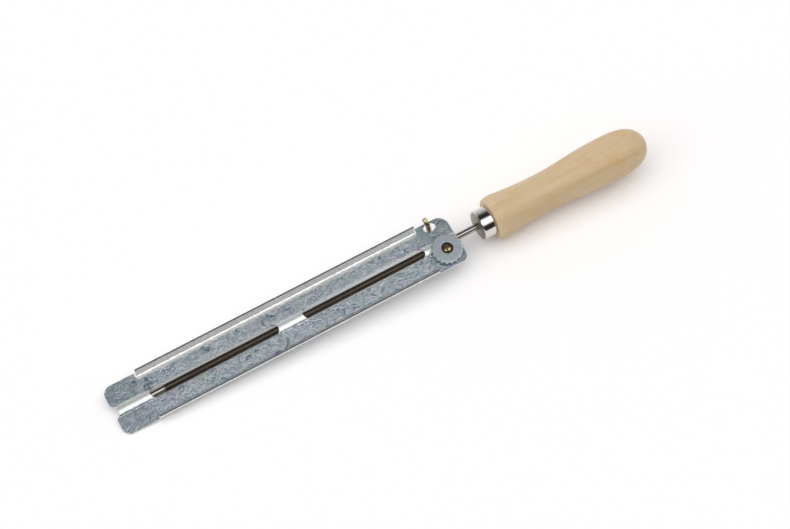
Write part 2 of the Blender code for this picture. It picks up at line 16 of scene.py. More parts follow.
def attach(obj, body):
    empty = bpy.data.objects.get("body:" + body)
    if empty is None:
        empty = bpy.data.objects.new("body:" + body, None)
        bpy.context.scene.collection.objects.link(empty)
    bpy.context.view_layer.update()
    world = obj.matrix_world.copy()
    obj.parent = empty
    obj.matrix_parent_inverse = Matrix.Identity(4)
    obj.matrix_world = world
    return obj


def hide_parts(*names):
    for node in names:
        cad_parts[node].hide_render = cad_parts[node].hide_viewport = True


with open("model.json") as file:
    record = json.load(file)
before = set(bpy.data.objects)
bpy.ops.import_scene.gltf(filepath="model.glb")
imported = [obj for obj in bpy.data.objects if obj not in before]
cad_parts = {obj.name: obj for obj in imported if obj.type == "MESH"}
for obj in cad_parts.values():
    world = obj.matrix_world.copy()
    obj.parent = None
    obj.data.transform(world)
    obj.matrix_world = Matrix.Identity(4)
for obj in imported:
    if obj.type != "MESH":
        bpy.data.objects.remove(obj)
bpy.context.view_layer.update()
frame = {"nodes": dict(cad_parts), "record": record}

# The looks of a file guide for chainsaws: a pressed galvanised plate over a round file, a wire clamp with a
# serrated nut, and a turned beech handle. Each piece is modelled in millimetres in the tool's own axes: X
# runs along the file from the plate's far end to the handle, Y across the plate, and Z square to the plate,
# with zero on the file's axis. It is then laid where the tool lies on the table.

MM = 0.001

# Points nearer than MERGE are one point, and GAP is the room between pieces that fit into each other. The
# ferrule and the handle are turned in TURNED_SIDES steps.
MERGE = 0.001
GAP = 0.3
TURNED_SIDES = 96

# Plate: its sizes, and the grid that it is drawn on. A row just past each corner and each bend keeps the
# shading of the flats even.
PLATE_LENGTH = 241.2
HALF_WIDTH = 17.05
LOBE_EDGE = 16.85
SHEET = 1.0
PLATE_TOP = 2.44
PLATE_UNDERSIDE = PLATE_TOP - SHEET
FLANGE_TOP = PLATE_UNDERSIDE + 6.5
FLANGE_START = 22.9
FLANGE_END = PLATE_LENGTH - 21.9
RELIEF = 0.8
BEND_RADIUS = 2.5
BEND_STEPS = 8
SIDE = HALF_WIDTH - SHEET - BEND_RADIUS
BEAD_TOP = 3.75
BEAD_RADIUS = 6.2
BEAD_HALF_WIDTH = 4.0
CROWN_STEPS = 10
FOOT_STEPS = 4
FAR_CORNER = 5.8
PIN_CORNER = 7.0
WHEEL_CORNER = 5.0
NOTCH_DEPTH = 2.9
NOTCH_MOUTH = 9.8
NOTCH_FLOOR = 4.8
FLAT_PLACES = (4.25, NOTCH_MOUTH / 2, 10.2, 11.3, 12.2, 12.9, SIDE - 0.25, SIDE)
LOBE_PLACES = (SIDE, 14.1, 14.7, 15.2, 15.65, 16.0, 16.3, 16.6, LOBE_EDGE)
CORNER_SUPPORT = 0.7
EDGE_SUPPORT = 0.15
SLOT_RADIUS = 4.0
SLOTS = ((24.8, 113.6), (131.0, 217.9))
LEG_HOLE = (229.2, 13.15)
LEG_HOLE_SIZE = (8.3, 5.8)
PUNCH_EDGE = 0.12
CUT_DEPTH = 20.0

# The raised pad under the nut
BOLT = Vector((230.8, -5.6, 0.0))
PAD_TOP = PLATE_TOP + 1.4
PAD_RADIUS = 6.5
PAD_SLOPE = 1.0 / 1.4

# Nut
WHEEL_BOTTOM = PAD_TOP + GAP
COLLAR_TOP = WHEEL_BOTTOM + 0.5
WHEEL_TOP = COLLAR_TOP + 3.0
WHEEL_RADIUS = 10.0
WHEEL_TEETH = 18
WHEEL_TOOTH_DEPTH = 0.8
WHEEL_TOOTH_STEPS = 12
COLLAR_RADIUS = 6.0
COUNTERBORE_RADIUS = 3.7
COUNTERBORE_DEPTH = 1.9

# Bail: an M4 thread on bent wire. The dome is a list of drops below the thread's top, each with a radius, and
# the wire's end a list of places back from it, each with how far it is drawn in.
THREAD_RADIUS = 2.0
THREAD_PITCH = 0.7
THREAD_DEPTH = 0.3
THREAD_LENGTH = 8.0
THREAD_TOP = WHEEL_TOP - 0.1
THREAD_START = THREAD_TOP - 0.6
THREAD_END = THREAD_TOP - 0.45 - THREAD_LENGTH
WIRE_START = THREAD_END - 0.4
WIRE_END = ((0.4, 0.0), (0.1, 0.22), (0.0, 0.5))
RINGS_PER_TURN = 5
DOME = ((0.0, 0.7), (0.06, 1.3), (0.16, 1.85), (0.3, 2.3), (0.4, 2.4), (0.5, THREAD_RADIUS))
SCREW_SLOT_DEPTH = 0.7
SCREW_SLOT_SIZE = (9.0, 1.3, 1.0)
SCREW_SLOT_TURN = radians(70.0)
WIRE_RADIUS = 1.6
WIRE_BEND = 3.2
NECK_GAP = 0.1
LEG_SKEW = radians(6.8)
LEG_LEAN = radians(25.0)
TIP_LEAN = radians(58.0)
TIP_REACH = 4.83
KNEE = PLATE_TOP + 2.2

# File
FILE_RADIUS = 2.4
FILE_TIP = 16.7
TIP_CHAMFER = 0.5
BLADE_LENGTH = 203.2
BLADE_END = FILE_TIP + BLADE_LENGTH
NECK_END = BLADE_END + 23.3
TEETH_START = FILE_TIP + 17.5
FILE_PITCH = 0.7
FILE_SPIRALS = 4
FILE_SIDES = 24
RINGS_PER_TOOTH = 4
FILE_TOOTH_DEPTH = 0.1
TEETH_FADE = 3.0
TANG_RADIUS = 2.2
TANG_TAPER = 38.0
TANG_TIP_RADIUS = 1.1

# Ferrule
FERRULE_FRONT = PLATE_LENGTH + 15.4
FERRULE_LENGTH = 9.4
FERRULE_BACK = FERRULE_FRONT + FERRULE_LENGTH
FERRULE_RADIUS = 10.0
FERRULE_WALL = 0.8
FERRULE_CORNER = 1.8
BOSS_RADIUS = 6.6
STEP_RADIUS = 7.2
STEP_DEPTH = 0.35
TANG_END = FERRULE_FRONT + 44.0

# Handle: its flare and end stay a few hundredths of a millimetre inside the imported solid's facets
HANDLE_FACE = FERRULE_BACK + GAP
HANDLE_LENGTH = 115.69
NOSE_CHAMFER = 1.0
FACE_RADIUS = 12.6
FLARE_RADIUS = 14.66
FLARE_AT = 6.4
WAIST_RADIUS = 12.6
WAIST_AT = 41.0
BELLY_RADIUS = 15.0
BELLY_AT = 81.3
FALL_POWER = 2.2
END_POWER = 3.9
HANDLE_STEPS = 14

# Where the tool lies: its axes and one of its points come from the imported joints
joints = {joint["name"]: joint for joint in frame["record"]["behaviour"]["joints"]}
ALONG = Vector(joints["file_slide"]["axis"]).normalized()
UP = Vector(joints["wheel_turn"]["axis"]).normalized()
TURN = Matrix((ALONG, UP.cross(ALONG), UP)).transposed()
PIVOT = Vector(joints["wheel_turn"]["pos_m"])
ORIGIN = PIVOT - TURN @ (BOLT + Vector((0.0, 0.0, WHEEL_BOTTOM))) * MM
TOOL = Matrix.Translation(ORIGIN) @ TURN.to_4x4() @ Matrix.Scale(MM, 4)

# Camera, from the plate's and the handle's ends in the photograph
ELEVATION = radians(58.0)
HEADING = radians(29.91)
FOCAL_PIXELS = 2206.0
IMAGE_WIDTH = 790
SENSOR = 36.0
DISTANCE = 1.3843
TARGET = Vector((0.0079, 0.0038, 0.010))
VIEW_END = 10.0
FLOOR_SIZE = 6.0

# The light tent, from the horizon behind the tool over the top to the one in front: degrees and brightness.
# Metal mirrors the long softboxes, which draw the bands along it. All else is lit by the broad soft light.
SOFTBOXES = (
    (0, 0.5),
    (21, 0.37),
    (42, 0.18),
    (55, 0.014),
    (82, 0.014),
    (91, 0.3),
    (96, 1.0),
    (130, 1.0),
    (137, 0.2),
    (145, 0.015),
    (180, 0.02),
)
SOFTBOX_STRENGTH = 1.8
SOFT_LIGHT = ((0, 0.3), (50, 0.32), (62, 1.0), (112, 1.0), (125, 0.55), (140, 0.25), (180, 0.2))
SOFT_STRENGTH = 1.48
LEFT_SHARE = 1.3
RIGHT_SHARE = 0.7

# Settings of the nodes that mix two colours
BLEND = {"data_type": "RGBA"}
MULTIPLY = {"data_type": "RGBA", "blend_type": "MULTIPLY"}


# Modelling

def take(piece):
    """Select one piece alone and make it the active one."""
    bpy.ops.object.select_all(action="DESELECT")
    piece.select_set(True)
    bpy.context.view_layer.objects.active = piece


def start(name, point):
    """One vertex to draw from: a small plane merged into its middle."""
    bpy.ops.object.select_all(action="DESELECT")
    bpy.ops.mesh.primitive_plane_add(size=1.0, location=(0.0, 0.0, 0.0))
    piece = bpy.context.object
    piece.name = name
    bpy.ops.object.mode_set(mode="EDIT")
    bpy.ops.mesh.merge(type="CENTER")
    bpy.ops.transform.translate(value=point)
    return piece


def draw_out(step):
    """Extrude what is selected by one step."""
    bpy.ops.mesh.extrude_region_move(TRANSFORM_OT_translate={"value": step})


def draw(points):
    """Extrude the selected vertex from each point to the next."""
    for before, after in zip(points, points[1:]):
        draw_out(Vector(after) - Vector(before))


def pick(piece, wanted, kind="VERT"):
    """In edit mode, select the vertices, edges or faces that a test of their places accepts."""
    bpy.ops.object.mode_set(mode="EDIT")
    bpy.ops.mesh.select_mode(type=kind)
    bpy.ops.mesh.select_all(action="DESELECT")
    bpy.ops.object.mode_set(mode="OBJECT")
    mesh = piece.data
    if kind == "VERT":
        for vertex in mesh.vertices:
            vertex.select = wanted(vertex.co)
    if kind == "EDGE":
        for edge in mesh.edges:
            edge.select = wanted(*[mesh.vertices[index].co for index in edge.vertices])
    if kind == "FACE":
        for face in mesh.polygons:
            face.select = wanted(face.center)
    bpy.ops.object.mode_set(mode="EDIT")


def close_up(piece):
    """Merge doubles, turn the faces outwards and leave edit mode."""
    bpy.ops.mesh.select_mode(type="VERT")
    bpy.ops.mesh.select_all(action="SELECT")
    bpy.ops.mesh.remove_doubles(threshold=MERGE)
    bpy.ops.mesh.normals_make_consistent(inside=False)
    bpy.ops.object.mode_set(mode="OBJECT")
    return piece


def turned(name, profile, steps, center=(0.0, 0.0, 0.0), axis=(1.0, 0.0, 0.0)):
    """Turn a profile, a list of points in space, once round an axis."""
    piece = start(name, profile[0])
    draw(profile)
    bpy.ops.mesh.select_all(action="SELECT")
    bpy.ops.mesh.spin(steps=steps, angle=2 * pi, center=center, axis=axis)
    return close_up(piece)


def modify(piece, kind, **settings):
    """Add a modifier and apply it."""
    take(piece)
    modifier = piece.modifiers.new(kind.lower(), kind)
    for name, value in settings.items():
        setattr(modifier, name, value)
    bpy.ops.object.modifier_apply(modifier=modifier.name)


def cut(piece, tool, operation="DIFFERENCE"):
    """Cut with another solid, or weld it on, and throw the tool away."""
    modify(piece, "BOOLEAN", operation=operation, solver="EXACT", object=tool)
    bpy.data.objects.remove(tool)


def disc(radius, low, high, x, y, top_radius=None, sides=64):
    """A solid cutter or punch, square to the plate: a cylinder, or a cone where its top differs."""
    bpy.ops.object.select_all(action="DESELECT")
    bpy.ops.mesh.primitive_cone_add(
        vertices=sides,
        radius1=radius,
        radius2=radius if top_radius is None else top_radius,
        depth=high - low,
        location=(x, y, (low + high) / 2),
    )
    bpy.ops.object.transform_apply()
    return bpy.context.object


def rounded(corners, steps=4):
    """Round a line's corners. Each corner is two places and a radius."""
    points = []
    for index, (x, y, radius) in enumerate(corners):
        here = Vector((x, y))
        if radius == 0:
            points.append((x, y))
            continue
        before = (Vector(corners[index - 1][:2]) - here).normalized()
        after = (Vector(corners[index + 1][:2]) - here).normalized()
        half = before.angle(after) / 2
        center = here + (before + after).normalized() * radius / sin(half)
        spoke = here + before * radius / tan(half) - center
        sweep = -spoke.angle_signed(here + after * radius / tan(half) - center)
        for step in range(steps + 1):
            points.append(tuple(center + Matrix.Rotation(sweep * step / steps, 2) @ spoke))
    return points


def bent(points, radius, steps=12):
    """A wire's centre line with its corners rounded."""
    line = [Vector(points[0])]
    for before, corner, after in zip(points, points[1:], points[2:]):
        back = (before - corner).normalized()
        on = (after - corner).normalized()
        half = back.angle(on) / 2
        center = corner + (back + on).normalized() * radius / sin(half)
        first = corner + back * radius / tan(half) - center
        last = corner + on * radius / tan(half) - center
        for step in range(steps + 1):
            line.append(center + first.slerp(last, step / steps).normalized() * radius)
    line.append(Vector(points[-1]))
    return line


def smooth(piece, angle=30.0):
    """Shade smooth, with sharp edges where the faces turn by more than an angle in degrees."""
    take(piece)
    bpy.ops.object.shade_smooth_by_angle(angle=radians(angle))
    return piece


def finish(piece, body, material, node):
    """Lay a finished piece where the tool lies, and let it stand for its CAD node."""
    piece.data.transform(TOOL)
    piece.data.materials.clear()
    piece.data.materials.append(material)
    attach(piece, body)
    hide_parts(node)


# Materials

def linear(code):
    """An sRGB hex colour as linear red, green, blue and alpha."""
    channels = [int(code[place:place + 2], 16) / 255 for place in (1, 3, 5)]
    channels = [c / 12.92 if c <= 0.04045 else ((c + 0.055) / 1.055) ** 2.4 for c in channels]
    return (*channels, 1.0)


def feed(node, inputs):
    """Give each of a node's inputs a value, another node's output, or that node's first live output."""
    for name, value in inputs.items():
        if isinstance(value, bpy.types.Node):
            value = next(output for output in value.outputs if output.enabled)
        if isinstance(value, bpy.types.NodeSocket):
            node.id_data.links.new(value, node.inputs[name])
        else:
            node.inputs[name].default_value = value


def add(tree, kind, inputs=None, stops=(), **settings):
    """Add a node with its settings and links. A colour ramp's stops are places with hex colours or greys."""
    made = tree.nodes.new(kind)
    for name, value in settings.items():
        setattr(made, name, value)
    if stops:
        elements = made.color_ramp.elements
        while len(elements) < len(stops):
            elements.new(1.0)
        for element, (place, value) in zip(elements, stops):
            element.position = place
            element.color = linear(value) if isinstance(value, str) else (value, value, value, 1.0)
    feed(made, inputs or {})
    return made


def new_material(name):
    """A material with its shader, and the tool's own axes in millimetres to lay patterns on."""
    material = bpy.data.materials.new(name)
    material.use_nodes = True
    tree = material.node_tree
    point = add(tree, "ShaderNodeMapping", {
        "Vector": add(tree, "ShaderNodeTexCoord").outputs["Object"],
        "Location": ORIGIN,
        "Rotation": TURN.to_euler(),
        "Scale": (MM, MM, MM),
    }, vector_type="TEXTURE")
    return material, tree, tree.nodes["Principled BSDF"], point


def on_flanges(tree, place, fade):
    """A mask that is one along the plate's turned-up sides and fades out to the lobes beyond their ends."""
    along = place.outputs["X"]
    begun = add(tree, "ShaderNodeMapRange", {0: along, 1: FLANGE_START - fade, 2: FLANGE_START + fade})
    still = add(tree, "ShaderNodeMapRange", {0: along, 1: FLANGE_END + fade, 2: FLANGE_END - fade})
    return add(tree, "ShaderNodeMath", {0: begun, 1: still}, operation="MULTIPLY")


def painted_highlight_mask(tree, place):
    """A mask of painted highlight: the bent sides, the lobes' outer edges, the flat along the foot of the far
    side, and the bead's crown."""
    across = add(tree, "ShaderNodeMath", {0: place.outputs["Y"]}, operation="ABSOLUTE")
    beside = add(tree, "ShaderNodeMath", {0: across, 1: SIDE}, operation="GREATER_THAN")
    above = add(tree, "ShaderNodeMapRange", {0: place.outputs["Z"], 1: PLATE_TOP + 0.05, 2: PLATE_TOP + 0.5})
    bent_up = add(tree, "ShaderNodeMath", {0: beside, 1: above}, operation="MULTIPLY")
    outside = add(tree, "ShaderNodeMapRange", {0: across, 1: LOBE_EDGE - 0.15, 2: LOBE_EDGE - 0.08})
    highlit_edges_and_sides = add(tree, "ShaderNodeMath", {0: bent_up, 1: outside}, operation="MAXIMUM")
    inner = add(tree, "ShaderNodeMapRange", {0: place.outputs["Y"], 1: SIDE - 2.4, 2: SIDE - 0.6, 4: 0.8})
    foot = add(tree, "ShaderNodeMath", {0: inner, 1: on_flanges(tree, place, 0.2)}, operation="MULTIPLY")
    bead = {0: across, 1: BEAD_HALF_WIDTH - 0.5, 2: BEAD_HALF_WIDTH - 1.5, 4: 0.7}
    crown = add(tree, "ShaderNodeMapRange", bead)
    highlit_foot_and_crown = add(tree, "ShaderNodeMath", {0: foot, 1: crown}, operation="MAXIMUM")
    return add(tree, "ShaderNodeMath", {0: highlit_edges_and_sides, 1: highlit_foot_and_crown}, operation="MAXIMUM")


def galvanised_sheet():
    """Hot-dip galvanised sheet: curling zinc crystals some 6 mm across, each tilted a little its own way, in
    blue-grey clouds of 12 mm with faint streaks from rolling. The lobes are darkened by painted shade, the
    bent sides, the lobes' edges, the far foot and the bead carry a painted highlight, and the sheared tops
    of the sides are bare dark steel."""
    material, tree, shader, point = new_material("hot_dip_galvanised_sheet")
    curls = add(tree, "ShaderNodeTexNoise", {
        "Vector": point,
        "Scale": 0.17,
        "Detail": 2.0,
        "Roughness": 0.55,
        "Distortion": 1.7,
    })
    crystals = add(tree, "ShaderNodeValToRGB", {"Fac": curls}, stops=[
        (0.34, "#8E9AA5"),
        (0.42, "#DCE2E7"),
        (0.46, "#FFFFFF"),
        (0.5, "#B6C1CA"),
        (0.58, "#F4F7F9"),
        (0.64, "#FFFFFF"),
    ])
    cloud = add(tree, "ShaderNodeTexNoise", {
        "Vector": point,
        "Scale": 0.085,
        "Detail": 2.0,
        "Distortion": 0.8,
    })
    tint = add(tree, "ShaderNodeValToRGB", {"Fac": cloud}, stops=[
        (0.34, "#E9F3EE"),
        (0.5, "#F3F7FC"),
        (0.66, "#F2F0F9"),
    ])
    color = add(tree, "ShaderNodeMix", {0: 1.0, 6: crystals, 7: tint}, **MULTIPLY)
    rolling = add(tree, "ShaderNodeVectorMath", {0: point, 1: (0.03, 0.7, 0.7)}, operation="MULTIPLY")
    streaks = add(tree, "ShaderNodeTexNoise", {"Vector": rolling, "Detail": 2.0})
    rolled = add(tree, "ShaderNodeValToRGB", {"Fac": streaks}, stops=[(0.35, "#DCE1E5"), (0.6, "#FFFFFF")])
    color = add(tree, "ShaderNodeMix", {0: 1.0, 6: color, 7: rolled}, **MULTIPLY)
    place = add(tree, "ShaderNodeSeparateXYZ", {"Vector": point})
    # Painted shade: the lobes beyond the sides' ends are darkened a little
    lobes = add(tree, "ShaderNodeMath", {0: 1.0, 1: on_flanges(tree, place, 5.0)}, operation="SUBTRACT")
    color = add(tree, "ShaderNodeMix", {0: lobes, 6: color, 7: linear("#E3E6E8")}, **MULTIPLY)
    # Painted highlight: where the mask is one the sheet is blended pale and, further down, made less metallic
    pale = painted_highlight_mask(tree, place)
    color = add(tree, "ShaderNodeMix", {0: pale, 6: color, 7: linear("#F2F2EF")}, **BLEND)
    top = {0: place.outputs["Z"], 1: FLANGE_TOP - 0.1}
    sheared = add(tree, "ShaderNodeMath", top, operation="GREATER_THAN")
    feed(shader, {
        "Base Color": add(tree, "ShaderNodeMix", {0: sheared, 6: color, 7: linear("#64686B")}, **BLEND),
        "Metallic": add(tree, "ShaderNodeMapRange", {0: pale, 3: 0.7, 4: 0.4}),
        "Roughness": add(tree, "ShaderNodeValToRGB", {"Fac": curls}, stops=[(0.35, 0.28), (0.65, 0.18)]),
        "Normal": add(tree, "ShaderNodeBump", {"Height": curls, "Strength": 1.0, "Distance": 0.00017}),
    })
    return material


def plated(name, dark, light, roughness, grain, metallic=1.0):
    """Electroplated steel: an even metal with a faint mottle and a little unevenness in its gloss. The grain
    is mottles per millimetre: they are drawn 1 to 3 mm wide, coarser than real, so that they show."""
    material, tree, shader, point = new_material(name)
    mottle = add(tree, "ShaderNodeTexNoise", {
        "Vector": point,
        "Scale": grain,
        "Detail": 4.0,
        "Roughness": 0.65,
    })
    glosses = [(0.3, roughness + 0.06), (0.7, roughness - 0.04)]
    feed(shader, {
        "Base Color": add(tree, "ShaderNodeValToRGB", {"Fac": mottle}, stops=[(0.3, dark), (0.7, light)]),
        "Roughness": add(tree, "ShaderNodeValToRGB", {"Fac": mottle}, stops=glosses),
        "Metallic": metallic,
    })
    return material


def paint_shade(material, inside, color, roughness):
    """Paint shade onto a plated finish where a mask is one: a darker colour and a duller gloss."""
    tree = material.node_tree
    shader = tree.nodes["Principled BSDF"]
    grey = (roughness, roughness, roughness, 1.0)
    for socket, shade_value in (("Base Color", linear(color)), ("Roughness", grey)):
        clean = shader.inputs[socket].links[0].from_socket
        feed(shader, {socket: add(tree, "ShaderNodeMix", {0: inside, 6: clean, 7: shade_value}, **BLEND)})
    return material


def nut_with_painted_bore_shade():
    """Zinc-plated steel, dull and even, with painted shade in dark brown inside the counterbore."""
    material = plated("zinc_plated_nut", "#ACB4BA", "#C6CDD2", 0.36, 0.5, 0.85)
    tree = material.node_tree
    point = tree.nodes["Mapping"]
    flat = add(tree, "ShaderNodeVectorMath", {0: point, 1: (1.0, 1.0, 0.0)}, operation="MULTIPLY")
    reach = add(tree, "ShaderNodeVectorMath", {0: flat, 1: BOLT}, operation="DISTANCE")
    rim = {0: reach, 1: COUNTERBORE_RADIUS + 0.2, 2: COUNTERBORE_RADIUS + 0.05}
    # Painted shade: the counterbore's wall and floor turn dark brown and dull
    return paint_shade(material, add(tree, "ShaderNodeMapRange", rim), "#4C4036", 0.5)


def cap_with_painted_face_shade():
    """Bright nickel that mirrors the light tent in bands, with painted shade in brown-grey on its front face.
    """
    material = plated("bright_nickel", "#D2D0CB", "#DCDAD6", 0.10, 0.3)
    tree = material.node_tree
    place = add(tree, "ShaderNodeSeparateXYZ", {"Vector": tree.nodes["Mapping"]})
    front = {0: place.outputs["X"], 1: FERRULE_FRONT + 1.3, 2: FERRULE_FRONT + 0.5}
    # Painted shade: the front face turns brown-grey and duller, standing in for the shaded floor it mirrors
    return paint_shade(material, add(tree, "ShaderNodeMapRange", front), "#8F887B", 0.28)


def file_steel():
    """Hardened file steel: smooth light tip, dark oily teeth, and a ground neck and tang. The grinding
    streaks are about 8 mm long."""
    material, tree, shader, point = new_material("hardened_file_steel")
    along = add(tree, "ShaderNodeSeparateXYZ", {"Vector": point}).outputs["X"]
    begun = add(tree, "ShaderNodeMapRange", {0: along, 1: TEETH_START - 1.0, 2: TEETH_START + 1.0})
    still = add(tree, "ShaderNodeMapRange", {0: along, 1: BLADE_END + 1.0, 2: BLADE_END - 1.0})
    teeth = add(tree, "ShaderNodeMath", {0: begun, 1: still}, operation="MULTIPLY")
    grinding = add(tree, "ShaderNodeVectorMath", {0: point, 1: (0.12, 2.4, 2.4)}, operation="MULTIPLY")
    streaks = add(tree, "ShaderNodeTexNoise", {"Vector": grinding, "Scale": 1.0, "Detail": 3.0})
    plain = add(tree, "ShaderNodeValToRGB", {"Fac": streaks}, stops=[(0.3, "#8E8A86"), (0.7, "#B4B0AC")])
    toothed = add(tree, "ShaderNodeValToRGB", {"Fac": streaks}, stops=[(0.3, "#3C3732"), (0.7, "#58514A")])
    feed(shader, {
        "Base Color": add(tree, "ShaderNodeMix", {0: teeth, 6: plain, 7: toothed}, **BLEND),
        "Roughness": add(tree, "ShaderNodeMapRange", {0: teeth, 3: 0.17, 4: 0.42}),
        "Metallic": 1.0,
    })
    return material


def beech():
    """Turned beech under a thin clear coat: pale even wood with warmer patches and short dark flecks, about
    2 mm long, along the grain."""
    material, tree, shader, point = new_material("turned_beech")
    long_grain = add(tree, "ShaderNodeVectorMath", {0: point, 1: (0.012, 0.09, 0.09)}, operation="MULTIPLY")
    wander = add(tree, "ShaderNodeTexNoise", {"Vector": long_grain, "Scale": 1.0})
    year_grain = add(tree, "ShaderNodeVectorMath", {0: point, 1: (0.02, 0.5, 0.16)}, operation="MULTIPLY")
    rings = add(tree, "ShaderNodeTexNoise", {
        "Vector": year_grain,
        "Scale": 1.0,
        "Detail": 4.0,
        "Distortion": 0.4,
    })
    tone = add(tree, "ShaderNodeMix", {0: 0.5, 2: wander, 3: rings})
    wood = add(tree, "ShaderNodeValToRGB", {"Fac": tone}, stops=[
        (0.3, "#C8AA80"),
        (0.5, "#CFB58E"),
        (0.7, "#D6BF9C"),
    ])
    pore_grain = add(tree, "ShaderNodeVectorMath", {0: point, 1: (0.42, 2.2, 2.2)}, operation="MULTIPLY")
    pores = add(tree, "ShaderNodeTexVoronoi", {"Vector": pore_grain, "Scale": 1.0})
    fleck = add(tree, "ShaderNodeValToRGB", {"Fac": pores}, stops=[(0.1, 0.62), (0.3, 0.0)])
    patch = add(tree, "ShaderNodeTexNoise", {"Vector": point, "Scale": 0.12})
    amount = add(tree, "ShaderNodeMath", {0: fleck, 1: patch}, operation="MULTIPLY")
    glow = add(tree, "ShaderNodeValToRGB", {"Fac": patch}, stops=[(0.5, 0.0), (0.7, 0.35)])
    warm = add(tree, "ShaderNodeMix", {0: glow, 6: wood, 7: linear("#CDA160")}, **BLEND)
    relief = {"Height": fleck, "Strength": 0.2, "Distance": 0.00004}
    feed(shader, {
        "Base Color": add(tree, "ShaderNodeMix", {0: amount, 6: warm, 7: linear("#A8743F")}, **BLEND),
        "Roughness": add(tree, "ShaderNodeValToRGB", {"Fac": rings}, stops=[(0.3, 0.42), (0.7, 0.5)]),
        "Normal": add(tree, "ShaderNodeBump", relief, invert=True),
        "Coat Weight": 0.25,
        "Coat Roughness": 0.25,
    })
    return material


# Pieces

def plate_columns():
    """Places across half the plate: the bead's crown and foot, then the flat up to the side's bend."""
    slope = 2 * atan2(BEAD_TOP - PLATE_TOP, BEAD_HALF_WIDTH)
    foot = BEAD_HALF_WIDTH / sin(slope) - BEAD_RADIUS
    columns = []
    for step in range(CROWN_STEPS + 1):
        turn = slope * step / CROWN_STEPS
        columns.append((BEAD_RADIUS * sin(turn), BEAD_TOP - BEAD_RADIUS * (1 - cos(turn))))
    for step in range(1, FOOT_STEPS + 1):
        turn = slope * (1 - step / FOOT_STEPS)
        columns.append((BEAD_HALF_WIDTH - foot * sin(turn), PLATE_TOP + foot * (1 - cos(turn))))
    return columns + [(y, PLATE_TOP) for y in FLAT_PLACES]


def plate_stations():
    """Places along the plate where its grid has a row."""
    slot_ends = [place for begin, end in SLOTS for place in (begin + SLOT_RADIUS, end - SLOT_RADIUS)]
    return [
        0.0,
        FAR_CORNER + CORNER_SUPPORT,
        FLANGE_START - RELIEF,
        FLANGE_START,
        *slot_ends,
        FLANGE_END,
        FLANGE_END + RELIEF,
        PLATE_LENGTH - PIN_CORNER - CORNER_SUPPORT,
        PLATE_LENGTH,
    ]


def on_side(low, high):
    """A test for the edges that run along the tool at the foot of its side, between two stations."""
    def wanted(a, b):
        return abs(a.y - SIDE) + abs(b.y - SIDE) < 0.01 and low < (a.x + b.x) / 2 < high
    return wanted


def in_slot(co):
    """A test for the faces that a slot takes out of the grid."""
    along = any(begin + SLOT_RADIUS < co.x < end - SLOT_RADIUS for begin, end in SLOTS)
    return along and abs(co.y) < SLOT_RADIUS


def pulled(x, y):
    """Where a point of the grid ends up along the tool: on the notch, a corner, or a slot's round end."""
    across = abs(y)
    for begin, end in SLOTS:
        bow = sqrt(max(0.0, SLOT_RADIUS ** 2 - across ** 2))
        if x == begin + SLOT_RADIUS:
            return x - bow
        if x == end - SLOT_RADIUS:
            return x + bow
    if x == 0.0:
        notch = NOTCH_DEPTH * (NOTCH_MOUTH / 2 - across) / (NOTCH_MOUTH / 2 - NOTCH_FLOOR / 2)
        past = max(0.0, across - LOBE_EDGE + FAR_CORNER)
        return max(0.0, min(NOTCH_DEPTH, notch)) + FAR_CORNER - sqrt(max(0.0, FAR_CORNER ** 2 - past ** 2))
    if x == PLATE_LENGTH:
        corner = PIN_CORNER if y > 0 else WHEEL_CORNER
        past = max(0.0, across - LOBE_EDGE + corner)
        return x - corner + sqrt(max(0.0, corner ** 2 - past ** 2))
    return x


def plate():
    """The plate's upper skin, drawn as a grid, bent up at its sides and mirrored, then made a sheet."""
    columns = plate_columns()
    stations = plate_stations()
    piece = start("galvanised_plate", (0.0, *columns[0]))
    draw([(0.0, y, z) for y, z in columns])
    bpy.ops.mesh.select_all(action="SELECT")
    for before, after in zip(stations, stations[1:]):
        draw_out((after - before, 0.0, 0.0))
    pick(piece, on_side(FLANGE_START, FLANGE_END), "EDGE")
    bend = (0.0, SIDE, PLATE_TOP + BEND_RADIUS)
    bpy.ops.mesh.spin(steps=BEND_STEPS, angle=-pi / 2, center=bend, axis=(1.0, 0.0, 0.0))
    draw_out((0.0, 0.0, EDGE_SUPPORT))
    draw_out((0.0, 0.0, FLANGE_TOP - PLATE_TOP - BEND_RADIUS - EDGE_SUPPORT))
    for low, high in ((0.0, FLANGE_START - RELIEF), (FLANGE_END + RELIEF, PLATE_LENGTH)):
        pick(piece, on_side(low, high), "EDGE")
        for before, after in zip(LOBE_PLACES, LOBE_PLACES[1:]):
            draw_out((0.0, after - before, 0.0))
    close_up(piece)
    modify(piece, "MIRROR", use_axis=(False, True, False), use_mirror_merge=True, merge_threshold=MERGE)
    pick(piece, in_slot, "FACE")
    bpy.ops.mesh.delete(type="FACE")
    close_up(piece)
    for vertex in piece.data.vertices:
        station = min(stations, key=lambda x: abs(x - vertex.co.x))
        vertex.co.x = pulled(station, vertex.co.y)
    if piece.data.polygons[0].normal.z < 0:
        piece.data.flip_normals()
    modify(piece, "SOLIDIFY", thickness=SHEET, offset=-1.0, use_even_offset=True, use_quality_normals=True)
    modify(piece, "BEVEL", width=PUNCH_EDGE, segments=2, limit_method="ANGLE", angle_limit=radians(40.0))
    return piece


